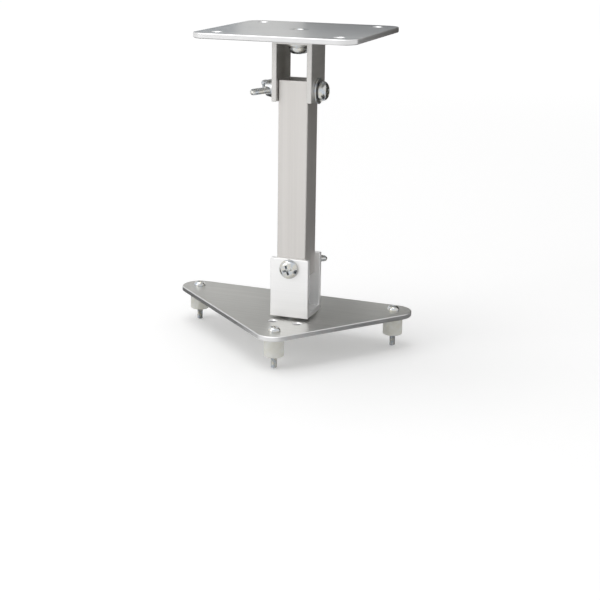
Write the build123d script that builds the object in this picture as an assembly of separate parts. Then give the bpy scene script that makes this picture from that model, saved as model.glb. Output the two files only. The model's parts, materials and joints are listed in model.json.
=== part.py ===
from build123d import *
import os

# Projector ceiling mount: a ceiling plate, a channel bracket that swivels under it, a square
# drop tube, a second channel bracket turned a quarter round, and a three-point plate that
# carries the load on spacers. All sizes are in millimetres.
# The origin is the centre of the ceiling plate's top face, +Z is up and the front is -Y.

# Ceiling plate
ceiling_side = 101.6
ceiling_thickness = 3.2
ceiling_corner_radius = 9.5
ceiling_hole_pitch = 76.2
ceiling_hole_diameter = 6.0

# Channel brackets, cut from one U section
bracket_wall = 3.2
bracket_width = 25.4
leg_length = 38.1
pivot_to_leg_end = 6.4
bracket_corner_radius = 0.6
bracket_end_round = 0.5

# Square drop tube
tube_side = 19.05
tube_wall = 1.6
tube_corner_radius = 0.8
tube_above_pivot = 6.5
tube_below_pivot = 6.5
pivot_spacing = 111.0

# Three-point plate: where its three screws and two spare holes stand, from the swivel axis
plate_thickness = 3.2
plate_corner_radius = 12.0
left_screw_x = -84.0
left_screw_y = 37.0
right_screw_x = 56.5
right_screw_y = 31.5
front_screw_x = 0.0
front_screw_y = -38.7
spare_hole_pitch = 16.5
spare_hole_y = -19.5
spare_hole_diameter = 4.8

# Quarter-inch pivot and swivel hardware
thread_diameter = 6.35
pan_head_diameter = 12.5
pan_head_height = 4.2
bolt_past_nut = 2.5
swivel_past_nut = 1.2
washer_diameter = 15.9
washer_thickness = 1.2
swivel_washer_thickness = 1.6
lock_washer_diameter = 11.8
lock_washer_thickness = 1.1
lock_washer_split = 1.0
lock_washer_slant = 25.0

# Round nut pressed flush into the ceiling plate
clinch_nut_diameter = 12.0
clinch_nut_chamfer = 0.5
bolt_below_face = 0.4

# Nylon-insert lock nut
nut_across_flats = 11.1
nut_hex_height = 5.4
nut_collar_diameter = 10.0
nut_collar_height = 2.6
nut_lip = 0.5
insert_diameter = 8.8

# Wing nuts
wing_hub_base_diameter = 12.4
wing_hub_top_diameter = 10.0
wing_hub_height = 6.4
wing_thickness = 3.8
wing_tip_radius = 3.0
wing_tip_reach = 9.6
wing_tip_height = 11.0
wing_root_radius = 2.6
wing_root_reach = 4.0
wing_edge_radius = 1.3
upper_wing_turn = 80.0
lower_wing_turn = 8.0

# Carrying screws and spacers
carry_thread_diameter = 4.0
carry_shank_diameter = 3.5
carry_head_diameter = 8.0
carry_head_height = 3.1
stud_length = 8.0
spacer_diameter = 12.7
spacer_length = 12.7

# Fits and finishing
side_clearance = 0.15
hole_clearance = 0.3
thread_clearance = 0.05
edge_break = 0.4
thread_end_chamfer = 0.6
head_round_share = 0.8
recess_share = 0.46
recess_slot_share = 0.11
recess_depth_share = 0.5

# Sizes that follow from those above
bracket_inside = tube_side + 2 * side_clearance
bracket_outside = bracket_inside + 2 * bracket_wall
pivot_hole_diameter = thread_diameter + 2 * hole_clearance
carry_hole_diameter = carry_thread_diameter + 2 * hole_clearance
nut_bore_diameter = thread_diameter + 2 * thread_clearance
nut_height = nut_hex_height + nut_collar_height
tube_length = tube_above_pivot + pivot_spacing + tube_below_pivot

# Heights along the mount
upper_web_top = -ceiling_thickness - swivel_washer_thickness
upper_web_bottom = upper_web_top - bracket_wall
upper_pivot_z = upper_web_top - leg_length + pivot_to_leg_end
lower_pivot_z = upper_pivot_z - pivot_spacing
lower_web_bottom = lower_pivot_z + pivot_to_leg_end - leg_length
lower_web_top = lower_web_bottom + bracket_wall
plate_top = lower_web_bottom - swivel_washer_thickness
plate_bottom = plate_top - plate_thickness
spacer_bottom = plate_bottom - spacer_length

UP = (Align.CENTER, Align.CENTER, Align.MIN)
DOWN = (Align.CENTER, Align.CENTER, Align.MAX)


# Shared pieces of hardware, each standing on Z = 0 with its axis along Z

def hole(diameter, depth):
    """A cutter for a round hole, centred on Z = 0."""
    return Cylinder(diameter / 2, 2 * depth)


def broken(solid, axis=Axis.Z):
    """The solid with the outlines of its two end faces broken by a small chamfer."""
    ends = solid.faces().sort_by(axis)
    rims = ends[0].outer_wire().edges() + ends[-1].outer_wire().edges()
    return chamfer(rims, edge_break)


def washer(outer, inner, thickness):
    """A flat washer."""
    ring = Cylinder(outer / 2, thickness, align=UP)
    return ring - hole(inner, thickness)


def split_washer():
    """A spring lock washer: a square-section ring cut through on a slant."""
    ring = washer(lock_washer_diameter, thread_diameter + hole_clearance, lock_washer_thickness)
    reach = lock_washer_diameter / 2
    outward = (Align.MIN, Align.CENTER, Align.CENTER)
    cut = Box(reach, lock_washer_split, 4 * lock_washer_thickness, align=outward)
    return ring - Pos(0, 0, lock_washer_thickness / 2) * Rot(lock_washer_slant, 0, 0) * cut


def shank(diameter, length):
    """A plain screw shank that hangs below Z = 0, with its end chamfered."""
    rod = Cylinder(diameter / 2, length, align=DOWN)
    return chamfer(rod.edges().sort_by(Axis.Z)[:1], thread_end_chamfer)


def cross_recess(head_diameter, depth):
    """A cutter for a cross recess that goes down from Z = 0."""
    long_side = head_diameter * recess_share
    short_side = head_diameter * recess_slot_share
    arm = Box(long_side, short_side, 2 * depth)
    return arm + Rot(0, 0, 90) * arm


def pan_head(head_diameter, head_height):
    """A cross-recessed pan head, seated on Z = 0."""
    head = Cylinder(head_diameter / 2, head_height, align=UP)
    head = fillet(head.edges().sort_by(Axis.Z)[-1:], head_height * head_round_share)
    return head - Pos(0, 0, head_height) * cross_recess(head_diameter, head_height * recess_depth_share)


def pan_head_bolt(length):
    """A quarter-inch bolt with a pan head, seated under its head on Z = 0."""
    return pan_head(pan_head_diameter, pan_head_height) + shank(thread_diameter, length)


def carry_screw():
    """A metric pan-head screw: a thin neck through plate and spacer, then the thread below them."""
    grip = plate_thickness + spacer_length
    neck = Cylinder(carry_shank_diameter / 2, grip, align=DOWN)
    thread = Pos(0, 0, -grip) * shank(carry_thread_diameter, stud_length)
    return pan_head(carry_head_diameter, carry_head_height) + neck + thread


def clinch_nut():
    """A round nut as thick as the ceiling plate, its thread opened by a chamfer at both ends."""
    body = washer(clinch_nut_diameter, nut_bore_diameter, ceiling_thickness)
    rims = body.edges().filter_by(GeomType.CIRCLE).group_by(SortBy.RADIUS)[0]
    return chamfer(rims, clinch_nut_chamfer)


def lock_nut():
    """A hexagon lock nut, its collar rolled over the groove that holds the nylon ring."""
    hexagon = RegularPolygon(nut_across_flats / 2, 6, major_radius=False)
    body = extrude(hexagon, nut_hex_height)
    corner_radius = hexagon.bounding_box().size.X / 2
    turned = Cylinder(corner_radius, nut_hex_height, align=UP)
    body = body & chamfer(turned.edges(), edge_break)
    collar = Pos(0, 0, nut_hex_height) * Cylinder(nut_collar_diameter / 2, nut_collar_height, align=UP)
    collar = fillet(collar.edges().sort_by(Axis.Z)[-1:], nut_lip)
    groove = Pos(0, 0, nut_hex_height) * Cylinder(insert_diameter / 2, nut_collar_height - nut_lip, align=UP)
    mouth = Pos(0, 0, nut_height) * Cylinder(insert_diameter / 2 - nut_lip, 2 * nut_lip)
    return body + collar - groove - mouth - hole(nut_bore_diameter, nut_height)


def lock_insert():
    """The nylon ring that fills a lock nut's groove and grips the thread."""
    return washer(insert_diameter, nut_bore_diameter, nut_collar_height - nut_lip)


def wing_nut():
    """A forged wing nut: a tapered hub with two round-tipped wings that flare outwards."""
    hub = Cone(wing_hub_base_diameter / 2, wing_hub_top_diameter / 2, wing_hub_height, align=UP)
    hub = fillet(hub.edges().sort_by(Axis.Z)[-1:], edge_break)
    root = Pos(wing_root_reach, wing_root_radius) * Circle(wing_root_radius)
    tip = Pos(wing_tip_reach, wing_tip_height) * Circle(wing_tip_radius)
    ear = make_hull((Sketch() + [root, tip]).edges())
    wing = extrude(Plane.XZ * ear, wing_thickness / 2, both=True)
    sides = wing.faces().sort_by(Axis.Y)
    wing = fillet(sides[0].edges() + sides[-1].edges(), wing_edge_radius)
    nut = hub + wing + mirror(wing, Plane.YZ)
    return nut - hole(nut_bore_diameter, wing_hub_height + wing_tip_height)


def channel():
    """A U channel with its web on top at Z = 0 and its legs hanging at -X and +X."""
    top_edge = (Align.CENTER, Align.MAX)
    outside = Rectangle(bracket_outside, leg_length, align=top_edge)
    inside = Pos(0, -bracket_wall) * Rectangle(bracket_inside, leg_length, align=top_edge)
    body = extrude(Plane.XZ * (outside - inside), bracket_width / 2, both=True)
    leg_corners = body.edges().filter_by(Axis.X).group_by(Axis.Z)[0]
    body = fillet(leg_corners, bracket_corner_radius)
    leg_rims = body.edges().filter_by(Axis.Y).group_by(Axis.Z)[0]
    body = fillet(leg_rims, bracket_end_round)
    pivot_height = pivot_to_leg_end - leg_length
    pivot = Pos(0, 0, pivot_height) * Rot(0, 90, 0) * hole(pivot_hole_diameter, bracket_outside)
    return body - pivot - hole(pivot_hole_diameter, bracket_wall)


# The ceiling plate: square, round-cornered, drilled at its corners and bored for the pressed nut

def make_ceiling_plate():
    outline = RectangleRounded(ceiling_side, ceiling_side, ceiling_corner_radius)
    plate = broken(extrude(outline, -ceiling_thickness))
    for place in GridLocations(ceiling_hole_pitch, ceiling_hole_pitch, 2, 2):
        plate -= place * hole(ceiling_hole_diameter, ceiling_thickness)
    return plate - hole(clinch_nut_diameter, ceiling_thickness)


# The drop tube: open at both ends, cross-drilled one way for the tilt and the other for the roll

def make_square_tube():
    outline = RectangleRounded(tube_side, tube_side, tube_corner_radius)
    bore_side = tube_side - 2 * tube_wall
    section = outline - Rectangle(bore_side, bore_side)
    top = upper_pivot_z + tube_above_pivot
    tube = Pos(0, 0, top) * extrude(section, -tube_length)
    tube -= Pos(0, 0, upper_pivot_z) * Rot(0, 90, 0) * hole(pivot_hole_diameter, tube_side)
    return tube - Pos(0, 0, lower_pivot_z) * Rot(90, 0, 0) * hole(pivot_hole_diameter, tube_side)


# The three-point plate: the hull of three round corners, drilled for its screws and the swivel

carry_points = {
    "left": (left_screw_x, left_screw_y),
    "front": (front_screw_x, front_screw_y),
    "right": (right_screw_x, right_screw_y),
}


def make_projector_plate():
    corners = Sketch() + [Pos(x, y) * Circle(plate_corner_radius) for x, y in carry_points.values()]
    plate = broken(extrude(make_hull(corners.edges()), -plate_thickness))
    plate -= hole(nut_bore_diameter, plate_thickness)
    for x, y in carry_points.values():
        plate -= Pos(x, y) * hole(carry_hole_diameter, plate_thickness)
    for x in (-spare_hole_pitch / 2, spare_hole_pitch / 2):
        plate -= Pos(x, spare_hole_y) * hole(spare_hole_diameter, plate_thickness)
    return Pos(0, 0, plate_top) * plate


# The stack on each pivot, counted outwards from the face of a bracket leg

leg_face = bracket_outside / 2
flat_washer = washer(washer_diameter, pivot_hole_diameter, washer_thickness)
upper_head_seat = leg_face + washer_thickness + lock_washer_thickness
wing_seat = leg_face + washer_thickness
wing_end = wing_seat + wing_hub_height + bolt_past_nut

at_upper_head = Pos(0, 0, upper_pivot_z) * Rot(0, 90, 0)
at_upper_wing = Pos(0, 0, upper_pivot_z) * Rot(0, -90, 0)
at_lower_head = Pos(0, 0, lower_pivot_z) * Rot(90, 0, 0)
at_lower_wing = Pos(0, 0, lower_pivot_z) * Rot(-90, 0, 0)

upper_bolt = pan_head_bolt(upper_head_seat + wing_end)
lower_bolt = pan_head_bolt(leg_face + wing_end)

# The swivel under the ceiling plate: a bolt goes up through the web into the pressed nut
thick_washer = washer(washer_diameter, pivot_hole_diameter, swivel_washer_thickness)
swivel_stack = swivel_washer_thickness + lock_washer_thickness
at_upper_swivel = Pos(0, 0, upper_web_bottom) * Rot(180, 0, 0)
upper_swivel_length = swivel_stack - upper_web_bottom - bolt_below_face

# The swivel over the three-point plate: a bolt goes down through web and plate to a lock nut
at_lower_swivel = Pos(0, 0, lower_web_top)
lower_nut_seat = plate_bottom - swivel_washer_thickness
at_lower_nut = Pos(0, 0, lower_nut_seat) * Rot(180, 0, 0)
lower_swivel_length = swivel_stack + lower_web_top - lower_nut_seat + nut_height + swivel_past_nut

parts = {
    "ceiling_plate": make_ceiling_plate(),
    "ceiling_nut": Pos(0, 0, -ceiling_thickness) * clinch_nut(),
    "ceiling_washer": Pos(0, 0, upper_web_top) * thick_washer,
    "upper_swivel_bolt": at_upper_swivel * Pos(0, 0, swivel_stack) * pan_head_bolt(upper_swivel_length),
    "upper_swivel_washer": at_upper_swivel * thick_washer,
    "upper_swivel_split_washer": at_upper_swivel * Pos(0, 0, swivel_washer_thickness) * split_washer(),
    "upper_bracket": Pos(0, 0, upper_web_top) * channel(),
    "upper_pivot_bolt": at_upper_head * Pos(0, 0, upper_head_seat) * upper_bolt,
    "upper_head_washer": at_upper_head * Pos(0, 0, leg_face) * flat_washer,
    "upper_split_washer": at_upper_head * Pos(0, 0, wing_seat) * split_washer(),
    "upper_wing_washer": at_upper_wing * Pos(0, 0, leg_face) * flat_washer,
    "upper_wing_nut": at_upper_wing * Pos(0, 0, wing_seat) * Rot(0, 0, upper_wing_turn) * wing_nut(),
    "square_tube": make_square_tube(),
    "lower_bracket": Pos(0, 0, lower_web_bottom) * Rot(180, 0, 90) * channel(),
    "lower_pivot_bolt": at_lower_head * Pos(0, 0, leg_face) * lower_bolt,
    "lower_wing_washer": at_lower_wing * Pos(0, 0, leg_face) * flat_washer,
    "lower_wing_nut": at_lower_wing * Pos(0, 0, wing_seat) * Rot(0, 0, lower_wing_turn) * wing_nut(),
    "base_washer": Pos(0, 0, plate_top) * thick_washer,
    "projector_plate": make_projector_plate(),
    "lower_swivel_bolt": at_lower_swivel * Pos(0, 0, swivel_stack) * pan_head_bolt(lower_swivel_length),
    "lower_swivel_washer": at_lower_swivel * thick_washer,
    "lower_swivel_split_washer": at_lower_swivel * Pos(0, 0, swivel_washer_thickness) * split_washer(),
    "lower_nut_washer": Pos(0, 0, lower_nut_seat) * thick_washer,
    "lower_lock_nut": at_lower_nut * lock_nut(),
    "lower_lock_insert": at_lower_nut * Pos(0, 0, nut_hex_height) * lock_insert(),
}

# The three carrying points: a screw down through the plate and a nylon spacer below it
spacer = broken(Cylinder(spacer_diameter / 2, spacer_length, align=UP))
spacer -= hole(carry_hole_diameter, spacer_length)
for side, (x, y) in carry_points.items():
    parts["screw_" + side] = Pos(x, y, plate_top) * carry_screw()
    parts["spacer_" + side] = Pos(x, y, spacer_bottom) * spacer

os.makedirs("parts", exist_ok=True)
for name, solid in parts.items():
    export_step(solid, "parts/" + name + ".step")

print("upper pivot z", upper_pivot_z, "lower pivot z", lower_pivot_z)
print("plate top z", plate_top, "spacer bottom z", spacer_bottom)
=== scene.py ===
import json
from math import copysign, cos, floor, pi, radians, sin

import bmesh
import bpy
from mathutils import Matrix, Vector

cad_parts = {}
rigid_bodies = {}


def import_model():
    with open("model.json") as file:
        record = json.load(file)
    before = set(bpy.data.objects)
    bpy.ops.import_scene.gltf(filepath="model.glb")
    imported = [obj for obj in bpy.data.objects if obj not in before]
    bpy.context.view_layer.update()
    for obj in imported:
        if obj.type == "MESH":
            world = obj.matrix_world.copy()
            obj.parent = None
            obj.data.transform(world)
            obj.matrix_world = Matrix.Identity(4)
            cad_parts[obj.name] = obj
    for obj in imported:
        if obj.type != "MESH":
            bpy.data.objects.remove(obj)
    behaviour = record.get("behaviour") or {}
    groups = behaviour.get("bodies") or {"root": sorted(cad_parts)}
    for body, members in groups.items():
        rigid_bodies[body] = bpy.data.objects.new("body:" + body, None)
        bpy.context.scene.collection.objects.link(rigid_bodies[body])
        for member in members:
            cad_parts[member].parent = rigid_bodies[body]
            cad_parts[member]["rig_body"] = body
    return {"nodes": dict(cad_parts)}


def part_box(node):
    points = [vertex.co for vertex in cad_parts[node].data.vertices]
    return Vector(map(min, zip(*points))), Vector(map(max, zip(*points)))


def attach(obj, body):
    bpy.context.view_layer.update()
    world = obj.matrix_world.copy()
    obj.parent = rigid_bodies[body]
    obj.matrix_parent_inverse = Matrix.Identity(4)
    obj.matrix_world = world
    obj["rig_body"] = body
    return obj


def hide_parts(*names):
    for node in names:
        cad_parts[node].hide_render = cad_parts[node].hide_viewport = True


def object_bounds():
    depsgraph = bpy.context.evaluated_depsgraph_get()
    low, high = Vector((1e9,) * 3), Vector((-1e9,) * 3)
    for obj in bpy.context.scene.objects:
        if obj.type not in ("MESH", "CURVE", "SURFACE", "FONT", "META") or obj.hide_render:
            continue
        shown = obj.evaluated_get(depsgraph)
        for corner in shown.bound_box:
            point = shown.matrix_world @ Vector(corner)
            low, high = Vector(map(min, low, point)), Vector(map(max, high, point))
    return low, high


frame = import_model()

nodes = frame["nodes"]
cad_box = [list(corner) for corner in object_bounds()]


# The ceiling plate is a square of 3.2 mm aluminium sheet, cut, round-cornered and deburred, then
# brushed from side to side. Four screws through its corner holes hold it to the ceiling.

class Value:
    """A shader socket; arithmetic on it adds the Math nodes."""

    def __init__(self, finish, socket):
        self.finish = finish
        self.socket = socket

    def maths(self, operation, other):
        return self.finish.node("ShaderNodeMath", {"operation": operation}, {0: self, 1: other})

    def __add__(self, other):
        return self.maths("ADD", other)

    def __mul__(self, other):
        return self.maths("MULTIPLY", other)

    __radd__ = __add__
    __rmul__ = __mul__


class Nodes:
    """The node tree of a material or of the world, with short ways to add to it."""

    def __init__(self, owner):
        self.tree = owner.node_tree

    def put(self, node, sockets):
        for key, value in sockets.items():
            if isinstance(value, Value):
                self.tree.links.new(value.socket, node.inputs[key])
            else:
                node.inputs[key].default_value = value

    def node(self, kind, settings, sockets, output=0):
        made = self.tree.nodes.new(kind)
        for name, value in settings.items():
            setattr(made, name, value)
        self.put(made, sockets)
        return Value(self, made.outputs[output])

    def spot(self, scale=(1, 1, 1)):
        """A point of the surface, in metres, stretched along each axis."""
        here = self.node("ShaderNodeTexCoord", {}, {}, "Object")
        return self.node("ShaderNodeMapping", {}, {"Vector": here, "Scale": scale})

    def noise(self, where, scale=1.0, detail=2.0):
        sockets = {"Vector": where, "Scale": scale, "Detail": detail}
        return self.node("ShaderNodeTexNoise", {}, sockets)

    def band(self, value, low, high):
        """A value drawn out so that low becomes 0 and high becomes 1."""
        return self.node("ShaderNodeMapRange", {}, {"Value": value, 1: low, 2: high})

    def mix(self, share, first, second):
        sockets = {0: share, 6: first, 7: second}
        return self.node("ShaderNodeMix", {"data_type": "RGBA"}, sockets, 2)

    def bump(self, height, strength, depth):
        sockets = {"Height": height, "Strength": strength, "Distance": depth}
        return self.node("ShaderNodeBump", {}, sockets)

    def seen(self):
        """1 for what the camera sees straight, in metal or through glass, and 0 for light."""
        rays = ("Is Camera Ray", "Is Glossy Ray", "Is Transmission Ray")
        straight, mirrored, through = [self.node("ShaderNodeLightPath", {}, {}, ray) for ray in rays]
        return straight + mirrored + through


class Finish(Nodes):
    """One surface finish: a material with its nodes around a Principled shader."""

    def __init__(self, name):
        self.material = bpy.data.materials.new(name)
        self.material.use_nodes = True
        self.shader = self.material.node_tree.nodes["Principled BSDF"]
        super().__init__(self.material)


# Brush strokes to the metre, along X and across it.
fine_strokes = (45, 4200, 4200)
broad_strokes = (9, 620, 620)
tone_patches = 26
cut_metal = (0.70, 0.70, 0.70, 1)


def brushed_sheet(name, pale, dull):
    """Mill-finish sheet brushed along X: fine and broad scratches, a slow drift in tone, and
    plain grey metal where its edges were cut and broken."""
    finish = Finish(name)
    fine = finish.noise(finish.spot(fine_strokes), detail=3)
    broad = finish.noise(finish.spot(broad_strokes))
    drift = finish.noise(finish.spot(), tone_patches)
    grain = finish.band(fine * 0.55 + broad * 0.45, 0.34, 0.66)
    tone = finish.band(grain * 0.6 + drift * 0.4, 0.2, 0.8)
    facing = finish.node("ShaderNodeTexCoord", {}, {}, "Normal")
    upright = finish.node("ShaderNodeSeparateXYZ", {}, {0: facing}, 2)
    cut = finish.band(upright * upright, 0.85, 0.55)
    finish.put(finish.shader, {
        "Base Color": finish.mix(cut, finish.mix(tone, dull, pale), cut_metal),
        "Metallic": 1.0,
        "Roughness": 0.30 + grain * 0.12 + drift * 0.06,
        "Normal": finish.bump(grain, 0.25, 0.00003),
    })
    return finish.material


merge_gap = 0.000002
sliver = 0.000003


def finished(name, bm, material, crease):
    """Closes a mesh off as an object at the origin, smooth but for edges steeper than the crease."""
    bmesh.ops.remove_doubles(bm, verts=bm.verts, dist=merge_gap)
    bmesh.ops.recalc_face_normals(bm, faces=bm.faces)
    mesh = bpy.data.meshes.new(name)
    bm.to_mesh(mesh)
    bm.free()
    mesh.materials.append(material)
    mesh.shade_smooth()
    mesh.set_sharp_from_angle(angle=radians(crease))
    piece = bpy.data.objects.new(name, mesh)
    bpy.context.scene.collection.objects.link(piece)
    return piece


def settle(piece, crease):
    """Works a piece's modifiers into its mesh, without slivers."""
    shaped = piece.evaluated_get(bpy.context.evaluated_depsgraph_get())
    mesh = bpy.data.meshes.new_from_object(shaped)
    bm = bmesh.new()
    bm.from_mesh(mesh)
    bmesh.ops.remove_doubles(bm, verts=bm.verts, dist=sliver)
    bmesh.ops.dissolve_degenerate(bm, dist=sliver, edges=bm.edges)
    bm.to_mesh(mesh)
    bm.free()
    piece.modifiers.clear()
    piece.data = mesh
    mesh.shade_smooth()
    mesh.set_sharp_from_angle(angle=radians(crease))


def cut_away(piece, cutters, crease):
    """Takes the cutters out of a piece and throws them away."""
    for cutter in cutters:
        taking = piece.modifiers.new("cut", "BOOLEAN")
        taking.operation = "DIFFERENCE"
        taking.solver = "EXACT"
        taking.object = cutter
    settle(piece, crease)
    for cutter in cutters:
        bpy.data.objects.remove(cutter)


steepest_smooth = 28


def break_edges(piece, width):
    """Rounds a piece's sharp edges by a hair, and shades its flat faces flat."""
    bevel = piece.modifiers.new("broken_edges", "BEVEL")
    bevel.width = width
    bevel.segments = 2
    bevel.limit_method = "ANGLE"
    bevel.angle_limit = radians(steepest_smooth)
    shading = piece.modifiers.new("face_shading", "WEIGHTED_NORMAL")
    shading.keep_sharp = True


sheet_crease = 20
sheet_edge = 0.00012
mouth = 0.0007
mouth_overlap = 0.0002


def drilled_sheet(node, material, radius, centres):
    """A sheet that stands for a node, with the mouths of its open holes deburred."""
    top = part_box(node)[1].z
    bm = bmesh.new()
    bm.from_mesh(nodes[node].data)
    sheet = finished(node + "_sheet", bm, material, sheet_crease)
    burrs = []
    for x, y in centres:
        burr = bmesh.new()
        bmesh.ops.create_cone(burr, cap_ends=True, segments=48, radius1=radius - mouth_overlap,
                              radius2=radius + 2 * mouth, depth=2 * mouth + mouth_overlap)
        bmesh.ops.translate(burr, vec=(x, y, top - mouth_overlap / 2), verts=burr.verts)
        burrs.append(finished("burr", burr, material, sheet_crease))
    cut_away(sheet, burrs, sheet_crease)
    break_edges(sheet, sheet_edge)
    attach(sheet, nodes[node]["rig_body"])
    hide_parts(node)


ceiling_hole = 0.003
ceiling_offsets = (-0.0381, 0.0381)
# The ceiling plate's sheet colours are painted light: paler than the three-point plate's copy of the same
# sheet.
lit_ceiling_sheet = brushed_sheet("lit_ceiling_sheet", (0.80, 0.80, 0.79, 1), (0.69, 0.70, 0.71, 1))
ceiling_holes = [(x, y) for x in ceiling_offsets for y in ceiling_offsets]
drilled_sheet("ceiling_plate", lit_ceiling_sheet, ceiling_hole, ceiling_holes)


# The swivel under the ceiling plate: a bright zinc bolt goes up through the bracket's web, over a
# flat and a split washer, into a round nut that is pressed flush into the plate.

clear_blue = (0.50, 0.55, 0.62, 1)
clear_straw = (0.62, 0.60, 0.54, 1)
zinc_clouds = 420
zinc_specks = 3600


def zinc_plating(name, rough, blue=clear_blue, straw=clear_straw):
    """Zinc: a silver that drifts from blue to straw, with a fine crystal speckle."""
    finish = Finish(name)
    cloud = finish.band(finish.noise(finish.spot(), zinc_clouds), 0.35, 0.65)
    speck = finish.noise(finish.spot(), zinc_specks, 3)
    tint = finish.mix(cloud, blue, straw)
    finish.put(finish.shader, {
        "Base Color": finish.mix(speck * 0.35, tint, straw),
        "Metallic": 1.0,
        "Roughness": rough + speck * 0.10 + cloud * 0.05,
        "Normal": finish.bump(speck, 0.15, 0.00003),
    })
    return finish.material


def dress(node, material, edge):
    """Gives a CAD node its finish and breaks its edges."""
    piece = nodes[node]
    piece.material_slots[0].material = material
    weld = piece.modifiers.new("joined", "WELD")
    weld.merge_threshold = merge_gap
    break_edges(piece, edge)


def half_section(bm, line):
    """Half the section of a turned piece, as points joined by edges, each a radius and a height."""
    points = [bm.verts.new((radius, 0, height)) for radius, height in line]
    for pair in zip(points, points[1:]):
        bm.edges.new(pair)
    return points


def spin_round(bm, steps):
    """Turns a half section all the way round Z."""
    bmesh.ops.spin(bm, geom=bm.verts[:] + bm.edges[:], cent=(0, 0, 0), axis=(0, 0, 1), angle=2 * pi,
                   steps=steps, use_merge=True)


# The thread's depth, its run-out and the chamfer at its tip are shares of its pitch.
thread_depth = 0.54
thread_runout = 0.5
thread_chamfer = 0.7
flank_slope = 1.4
flank_offset = 0.2
rings_to_a_pitch = 8
hair = 0.000001


def cut_thread(bm, start, length, radius, pitch):
    """Cuts a thread into a shank from the height of its start down to its chamfered tip."""
    for point in bm.verts:
        around = Vector((point.co.x, point.co.y))
        share = around.length / radius
        if point.co.z < start - hair and share > 0.001:
            phase = point.co.z / pitch - around.angle_signed(Vector((1, 0)), 0) / (2 * pi)
            flank = abs((phase - floor(phase)) * 2 - 1)
            bite = min(1, max(0, flank * flank_slope - flank_offset))
            groove = radius - pitch * thread_depth * bite
            end = radius - pitch * thread_chamfer + (point.co.z + length)
            point.co.x, point.co.y = around.normalized() * (min(groove, end) * min(1, share))


# The recess's bars are shares of the head's radius and height, and so is what they lose downwards.
recess_length = 1.02
recess_width = 0.22
recess_depth = 0.58
length_taper = 0.48
width_taper = 0.28
screw_crease = 40


def cross_recess(screw, head_radius, head_height, turn):
    """Presses a cross recess, narrowing downwards, into a head whose top is at the head's height."""
    long_side = head_radius * recess_length
    short_side = head_radius * recess_width
    depth = head_height * recess_depth
    bars = []
    for quarter in (0, pi / 2):
        bar = bmesh.new()
        bmesh.ops.create_cube(bar, size=1)
        bmesh.ops.scale(bar, vec=(long_side, short_side, 2 * depth), verts=bar.verts)
        toes = [v for v in bar.verts if v.co.z < 0]
        bmesh.ops.scale(bar, vec=(1 - length_taper, 1 - width_taper, 1), verts=toes)
        heels = [v for v in bar.verts if v.co.z > 0]
        bmesh.ops.scale(bar, vec=(1 + length_taper, 1 + width_taper, 1), verts=heels)
        bmesh.ops.rotate(bar, matrix=Matrix.Rotation(turn + quarter, 3, "Z"), verts=bar.verts)
        bmesh.ops.translate(bar, vec=(0, 0, head_height), verts=bar.verts)
        bars.append(finished("cutter", bar, bright_zinc, screw_crease))
    cut_away(screw, bars, screw_crease)


# Half a pan head, slightly crowned, as shares of its radius and height.
pan_head = ((0.0, 1.0), (0.32, 0.985), (1.0, 0.85), (1.0, 0.0))
pan_rounding = 0.72


def pan_head_screw(node, outward, head_height, thread, threaded, turn=0.0, neck=None):
    """A cross-recessed pan-head screw that stands for a node. outward goes from its tip to its head,
    thread is its radius and pitch, threaded its cut length, and neck the radius above the thread."""
    low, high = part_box(node)
    axis = Vector(outward)
    size = high - low
    overall = abs(size.dot(axis))
    length = overall - head_height
    head_radius = max(abs(size[i]) for i in range(3) if abs(axis[i]) < 0.5) / 2
    seat = (low + high) / 2 + axis * (overall / 2 - head_height)
    radius, pitch = thread
    neck = neck or radius
    start = -(length - threaded)
    head = [(head_radius * r, head_height * z) for r, z in pan_head]
    shank = [(neck, 0.0), (neck, start + pitch * thread_runout), (radius, start)]
    tip = [(radius, -length), (0.0, -length)]
    bm = bmesh.new()
    points = half_section(bm, head + shank + tip)
    bmesh.ops.bevel(bm, geom=points[2:3], offset=head_height * pan_rounding, affect="VERTICES",
                    segments=14, profile=0.5, material=-1)
    run = [e for e in bm.edges if max(v.co.z for v in e.verts) < start + hair]
    bmesh.ops.subdivide_edges(bm, edges=run, cuts=round(threaded / pitch * rings_to_a_pitch))
    spin_round(bm, steps=56)
    cut_thread(bm, start, length, radius, pitch)
    screw = finished(node + "_threaded", bm, bright_zinc, screw_crease)
    cross_recess(screw, head_radius, head_height, turn)
    screw.data.transform(Matrix.Translation(seat) @ axis.to_track_quat("Z", "Y").to_matrix().to_4x4())
    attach(screw, nodes[node]["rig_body"])
    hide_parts(node)


bright_zinc = zinc_plating("bright_zinc", 0.16)
washer_zinc = zinc_plating("washer_zinc", 0.26)
# Near-black zinc for two of the split washers: painted shade for the dark gap between washer and bolt
# head.
painted_shade_zinc = zinc_plating("painted_shade_zinc", 0.34, (0.13, 0.135, 0.15, 1), (0.17, 0.165, 0.15, 1))
quarter_inch = (0.003175, 0.00127)
pan_head_height = 0.0042
washer_edge = 0.00022
split_washer_edge = 0.0001
round_nut_edge = 0.0001
upper_swivel_threaded = 0.006
pan_head_screw("upper_swivel_bolt", (0, 0, -1), pan_head_height, quarter_inch, upper_swivel_threaded)
dress("ceiling_nut", washer_zinc, round_nut_edge)
dress("ceiling_washer", washer_zinc, washer_edge)
dress("upper_swivel_washer", washer_zinc, washer_edge)
dress("upper_swivel_split_washer", washer_zinc, split_washer_edge)


# The upper bracket is a length sawn off an extruded aluminium channel and drilled. Its web turns on
# the swivel bolt and its legs take the tube between them.

# Die lines to the metre, across and along the extrusion.
narrow_lines = (1500, 10)
wide_lines = (260, 5)
matt_grain = 5200


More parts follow.
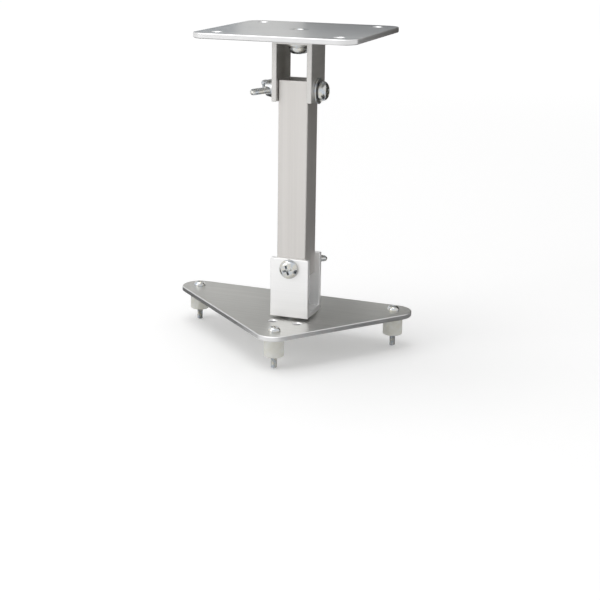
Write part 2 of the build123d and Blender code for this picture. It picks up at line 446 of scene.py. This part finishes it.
def extruded(name, along, pale, dull, rough):
    """Satin extrusion: narrow and wide die lines along one axis, crossed by a fine matt grain."""
    finish = Finish(name)
    narrow = [narrow_lines[axis == along] for axis in "XYZ"]
    wide = [wide_lines[axis == along] for axis in "XYZ"]
    lines = finish.noise(finish.spot(narrow), detail=3)
    bands = finish.noise(finish.spot(wide))
    grain = finish.noise(finish.spot(), matt_grain, 2)
    die = finish.band(lines * 0.5 + bands * 0.5, 0.36, 0.64)
    finish.put(finish.shader, {
        "Base Color": finish.mix(die, dull, pale),
        "Metallic": 1.0,
        "Roughness": rough + die * 0.08 + grain * 0.10,
        "Normal": finish.bump(die * 0.7 + grain * 0.3, 0.2, 0.00003),
    })
    return finish.material


channel_edge = 0.00025
# The upper bracket's colours are painted shade: darker than the lower bracket's copy of the same channel.
shaded_upper_channel = extruded("shaded_upper_channel", "Y", (0.64, 0.63, 0.61, 1), (0.57, 0.562, 0.547, 1), 0.34)
dress("upper_bracket", shaded_upper_channel, channel_edge)


# The upper pivot: a zinc bolt with a flat and a split washer under its head at the right leg, and a
# washer and a forged wing nut at the left leg. The wing nut clamps the tilt by hand.

def flat_ball(bm, centre, radius, thickness):
    """A ball pressed flat along Y, for one end of a wing."""
    ball = bmesh.ops.create_uvsphere(bm, u_segments=32, v_segments=20, radius=radius)["verts"]
    bmesh.ops.scale(bm, vec=(1, thickness / (2 * radius), 1), verts=ball)
    bmesh.ops.translate(bm, vec=centre, verts=ball)
    return ball


def wing(bm, root, tip):
    """Stretches a skin over the two ends of a wing."""
    hull = bmesh.ops.convex_hull(bm, input=root + tip)
    spare = [v for v in hull["geom_interior"] if isinstance(v, bmesh.types.BMVert)]
    bmesh.ops.delete(bm, geom=spare, context="VERTS")


forged_crease = 60
bored_crease = 50


def soften(piece, rounds):
    """Smooths a piece all over."""
    smooth = piece.modifiers.new("soften", "SMOOTH")
    smooth.factor = 0.5
    smooth.iterations = rounds
    settle(piece, forged_crease)


# The hollow in a wing's face runs between two points, each an X and a Z.
hollow_root = Vector((0.0068, 0.0066))
hollow_tip = Vector((0.0095, 0.0109))
hollow_reach = 0.0021
hollow_depth = 0.0007
hollow_slope = 1.7
thinnest_half = 0.0007


def press_hollow(mesh):
    """Presses both faces of both wings hollow, deepest along the line from root to tip."""
    run = hollow_tip - hollow_root
    for point in mesh.vertices:
        spot = Vector((abs(point.co.x), point.co.z)) - hollow_root
        share = spot.dot(run) / run.length_squared
        away = (spot - run * min(1, max(0, share))).length
        fall = min(1, max(0, hollow_slope - hollow_slope * away / hollow_reach))
        if abs(point.co.y) > thinnest_half:
            point.co.y -= copysign(hollow_depth * fall, point.co.y)


hub = ((0, 0), (0.0062, 0), (0.0062, 0.0009), (0.0050, 0.0064), (0, 0.0064))
hub_rounding = 0.0005
root_out = 0.0040
root_up = 0.0028
tip_out = 0.0096
tip_up = 0.0110
skin_grid = 0.0002
nut_bore = 0.00335
bore_reach = 0.04


def wing_nut(node, outward, across):
    """A forged wing nut that stands for a node: a tapered hub and two thick round-tipped wings,
    pressed a little hollow on both faces. outward goes from its seat, across along its wings."""
    low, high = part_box(node)
    axis = Vector(outward)
    seat = (low + high) / 2 - axis * (abs((high - low).dot(axis)) / 2)
    bm = bmesh.new()
    points = half_section(bm, hub)
    bmesh.ops.bevel(bm, geom=points[1:4], offset=hub_rounding, affect="VERTICES", segments=3,
                    profile=0.5, material=-1)
    spin_round(bm, steps=64)
    for side in (-1, 1):
        root = flat_ball(bm, (side * root_out, 0, root_up), radius=0.0026, thickness=0.0046)
        tip = flat_ball(bm, (side * tip_out, 0, tip_up), radius=0.0030, thickness=0.0042)
        wing(bm, root, tip)
    nut = finished(node + "_forged", bm, forged_zinc, forged_crease)
    skin = nut.modifiers.new("skin", "REMESH")
    skin.mode = "VOXEL"
    skin.voxel_size = skin_grid
    soften(nut, 4)
    press_hollow(nut.data)
    soften(nut, 4)
    bore = bmesh.new()
    bmesh.ops.create_cone(bore, cap_ends=True, segments=56, radius1=nut_bore, radius2=nut_bore,
                          depth=bore_reach)
    cut_away(nut, [finished("cutter", bore, forged_zinc, screw_crease)], bored_crease)
    span = Vector(across).normalized()
    turned = Matrix((span, axis.cross(span), axis)).transposed().to_4x4()
    nut.data.transform(Matrix.Translation(seat) @ turned)
    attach(nut, nodes[node]["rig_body"])
    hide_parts(node)


forged_zinc = zinc_plating("forged_zinc", 0.20)
pivot_threaded = 0.016
upper_wing_lean = radians(80)
pan_head_screw("upper_pivot_bolt", (1, 0, 0), pan_head_height, quarter_inch, pivot_threaded, turn=0.5)
dress("upper_head_washer", washer_zinc, washer_edge)
# This split washer is near-black zinc, painted shade for the gap under the head.
dress("upper_split_washer", painted_shade_zinc, split_washer_edge)
dress("upper_wing_washer", washer_zinc, washer_edge)
wing_nut("upper_wing_nut", (-1, 0, 0), (0, sin(upper_wing_lean), cos(upper_wing_lean)))


# The drop tube is a length of extruded square aluminium tube, sawn to length and cross-drilled at
# both ends, a quarter turn apart.

tube_edge = 0.0002
tube_extrusion = extruded("tube_extrusion", "Z", (0.63, 0.612, 0.592, 1), (0.585, 0.567, 0.547, 1), 0.36)
dress("square_tube", tube_extrusion, tube_edge)


# The lower bracket comes off the same aluminium channel, the other way up and a quarter turn round
# from the upper one. The tube rolls between its legs. Its colours are painted light: much paler than
# the upper bracket's copy of the same finish.

lit_lower_channel = extruded("lit_lower_channel", "X", (0.86, 0.858, 0.855, 1), (0.83, 0.828, 0.825, 1), 0.40)
dress("lower_bracket", lit_lower_channel, channel_edge)


# The lower pivot: a zinc bolt whose head sits straight on the front leg, with a washer and a forged
# wing nut behind the rear leg.

lower_wing_lean = radians(8)
pan_head_screw("lower_pivot_bolt", (0, -1, 0), pan_head_height, quarter_inch, pivot_threaded, turn=0.3)
dress("lower_wing_washer", washer_zinc, washer_edge)
wing_nut("lower_wing_nut", (0, 1, 0), (cos(lower_wing_lean), 0, -sin(lower_wing_lean)))


# The three-point plate is the same brushed sheet, cut to a long triangle with round corners and
# drilled for three screws, the swivel and two spare holes. Its colours are painted shade: darker than
# the ceiling plate's copy of the same sheet, for how the light falls on it.

spare_hole = 0.0024
spare_holes = [(x, -0.0195) for x in (-0.00825, 0.00825)]
shaded_carrier_sheet = brushed_sheet("shaded_carrier_sheet", (0.67, 0.665, 0.645, 1), (0.54, 0.54, 0.52, 1))
drilled_sheet("projector_plate", shaded_carrier_sheet, spare_hole, spare_holes)


# The swivel over the three-point plate: a zinc bolt goes down through the bracket, a thick washer and
# the plate to a lock nut, whose nylon ring keeps it from working loose.

nylon_clouds = 240
tool_rings = (20, 20, 3600)


def nylon(name, pale, warm):
    """Turned nylon: milky, with faint rings from the tool and a slightly uneven tone."""
    finish = Finish(name)
    cloud = finish.band(finish.noise(finish.spot(), nylon_clouds), 0.3, 0.7)
    rings = finish.noise(finish.spot(tool_rings))
    finish.put(finish.shader, {
        "Base Color": finish.mix(cloud, warm, pale),
        "Roughness": 0.42 + rings * 0.16,
        "Normal": finish.bump(rings, 0.3, 0.00004),
        "Subsurface Weight": 0.15,
        "Subsurface Radius": (0.004, 0.0038, 0.003),
        "Subsurface Scale": 0.5,
    })
    return finish.material


lock_nut_edge = 0.00018
insert_edge = 0.0001
lower_swivel_threaded = 0.0125
pan_head_screw("lower_swivel_bolt", (0, 0, 1), pan_head_height, quarter_inch, lower_swivel_threaded)
dress("base_washer", washer_zinc, washer_edge)
dress("lower_swivel_washer", washer_zinc, washer_edge)
# This split washer is near-black zinc, painted shade for the gap under the head.
dress("lower_swivel_split_washer", painted_shade_zinc, split_washer_edge)
dress("lower_nut_washer", washer_zinc, washer_edge)
dress("lower_lock_nut", bright_zinc, lock_nut_edge)
insert_nylon = nylon("insert_nylon", (0.84, 0.85, 0.84, 1), (0.80, 0.81, 0.79, 1))
dress("lower_lock_insert", insert_nylon, insert_edge)


# The three carrying points: an M4 pan-head screw drops through the plate and a turned nylon spacer,
# and its thread stands out below for the boss that it goes into.

m4 = (0.002, 0.0007)
m4_head_height = 0.0031
m4_threaded = 0.008
m4_neck = 0.00175
spacer_edge = 0.00015
spacer_nylon = nylon("spacer_nylon", (0.80, 0.805, 0.77, 1), (0.74, 0.73, 0.66, 1))
for corner, turn in (("left", 0.2), ("front", 0.7), ("right", 0.45)):
    pan_head_screw("screw_" + corner, (0, 0, 1), m4_head_height, m4, m4_threaded, turn, m4_neck)
    dress("spacer_" + corner, spacer_nylon, spacer_edge)


# The floor is plain and pale, just under the screw tips, and runs out of sight. It shows as white but
# keeps the soft shadow.

stage_crease = 30
floor_gap = 0.0004
floor_reach = 9
floor_height = cad_box[0][2] - floor_gap
bm = bmesh.new()
bmesh.ops.create_circle(bm, cap_ends=True, segments=96, radius=floor_reach)
bmesh.ops.translate(bm, vec=(0, 0, floor_height), verts=bm.verts)
pale_floor = Finish("pale_floor")
away = pale_floor.node("ShaderNodeVectorMath", {"operation": "LENGTH"}, {0: pale_floor.spot()}, 1)
lift = pale_floor.mix(pale_floor.band(away, 0.2, 1.8), (0.22, 0.22, 0.22, 1), (0.53, 0.53, 0.53, 1))
pale_floor.put(pale_floor.shader, {
    "Base Color": (0.86, 0.86, 0.86, 1),
    "Roughness": 0.9,
    "Specular IOR Level": 0.0,
    "Emission Color": pale_floor.mix(pale_floor.seen(), (0, 0, 0, 1), lift),
    "Emission Strength": 1.0,
})
floor_piece = finished("floor", bm, pale_floor.material, stage_crease)


# The light is a pale room with two soft boxes: a broad one overhead and one in front on the left.
# Grey and dark cards behind, beside and below, which only reflections see, give the bare metal its depth.

room_light = (0.55, 0.55, 0.55, 1)
white = (1, 1, 1, 1)
world = bpy.data.worlds.new("pale_room")
bpy.context.scene.world = world
world.use_nodes = True
room = Nodes(world)
backing = room.tree.nodes["Background"]
room.put(backing, {"Color": room.mix(room.seen(), room_light, white)})
mount_middle = Vector((0, 0, -0.1))


def soft_box(name, place, size, power):
    """A lamp that faces the middle of the mount."""
    lamp = bpy.data.lights.new(name, "AREA")
    lamp.shape = "RECTANGLE"
    lamp.size, lamp.size_y = size
    lamp.energy = power
    stand = bpy.data.objects.new(name, lamp)
    stand.location = place
    stand.rotation_euler = (mount_middle - Vector(place)).to_track_quat("-Z", "Y").to_euler()
    bpy.context.scene.collection.objects.link(stand)


soft_box("overhead_box", (-0.25, -0.15, 1.1), size=(1.2, 1.0), power=6.5)
soft_box("front_box", (-0.9, -1.0, 0.55), size=(0.8, 0.8), power=4.0)

standing = 90
lying = 0
card_height = floor_height + 0.001


def card(name, place, turn, tip, size, shade):
    """A matt card, turned about Z after it is tipped up about X."""
    bm = bmesh.new()
    bmesh.ops.create_grid(bm, x_segments=1, y_segments=1, size=0.5)
    bmesh.ops.scale(bm, vec=(*size, 1), verts=bm.verts)
    pose = Matrix.Rotation(radians(turn), 4, "Z") @ Matrix.Rotation(radians(tip), 4, "X")
    bmesh.ops.transform(bm, matrix=Matrix.Translation(place) @ pose, verts=bm.verts)
    paper = Finish(name)
    paper.put(paper.shader, {"Base Color": (*shade, 1), "Roughness": 1.0})
    sheet = finished(name, bm, paper.material, stage_crease)
    sheet.visible_camera = False
    sheet.visible_diffuse = False
    sheet.visible_transmission = False
    sheet.visible_shadow = False


card("grey_card", (-0.585, 1.5, 0.62), 19, standing, (0.77, 0.8), (0.50, 0.50, 0.48))
card("middle_card", (-0.112, 0.40, -0.055), 12, standing, (0.076, 0.14), (0.02, 0.025, 0.025))
card("back_card", (0.004, 0.132, 0.06), 0, standing, (0.096, 0.12), (0.02, 0.03, 0.04))
card("left_card", (-0.120, 0.132, 0.06), 0, standing, (0.05, 0.12), (0.06, 0.09, 0.12))
card("dark_card", (0.104, 0.149, -0.06), -20, standing, (0.141, 0.30), (0.03, 0.025, 0.02))
card("upper_card", (0.02, 0.13, -0.046), 0, standing, (0.08, 0.088), (0.12, 0.115, 0.10))
card("floor_card", (-0.22, 0.07, card_height), 0, lying, (0.30, 0.26), (0.05, 0.05, 0.05))
card("side_card", (0.21, -0.03, card_height), 0, lying, (0.30, 0.26), (0.08, 0.08, 0.08))


# The camera stands in front, a little to the right and above, as the photograph was taken. It looks
# left and down, and leans by less than a degree.

camera_place = (0.2714, -0.7530, 0.0711)
look_left = 19.62
look_down = 16.86
camera_lean = 0.77
camera = bpy.data.cameras.new("camera")
camera.sensor_width = 36
camera.lens = 77.87
viewer = bpy.data.objects.new("camera", camera)
turn = Matrix.Rotation(radians(look_left), 4, "Z")
tip = Matrix.Rotation(radians(90 - look_down), 4, "X")
roll = Matrix.Rotation(radians(camera_lean), 4, "Z")
viewer.matrix_world = Matrix.Translation(camera_place) @ turn @ tip @ roll
bpy.context.scene.collection.objects.link(viewer)
bpy.context.scene.camera = viewer
bpy.context.scene.view_settings.view_transform = "Standard"
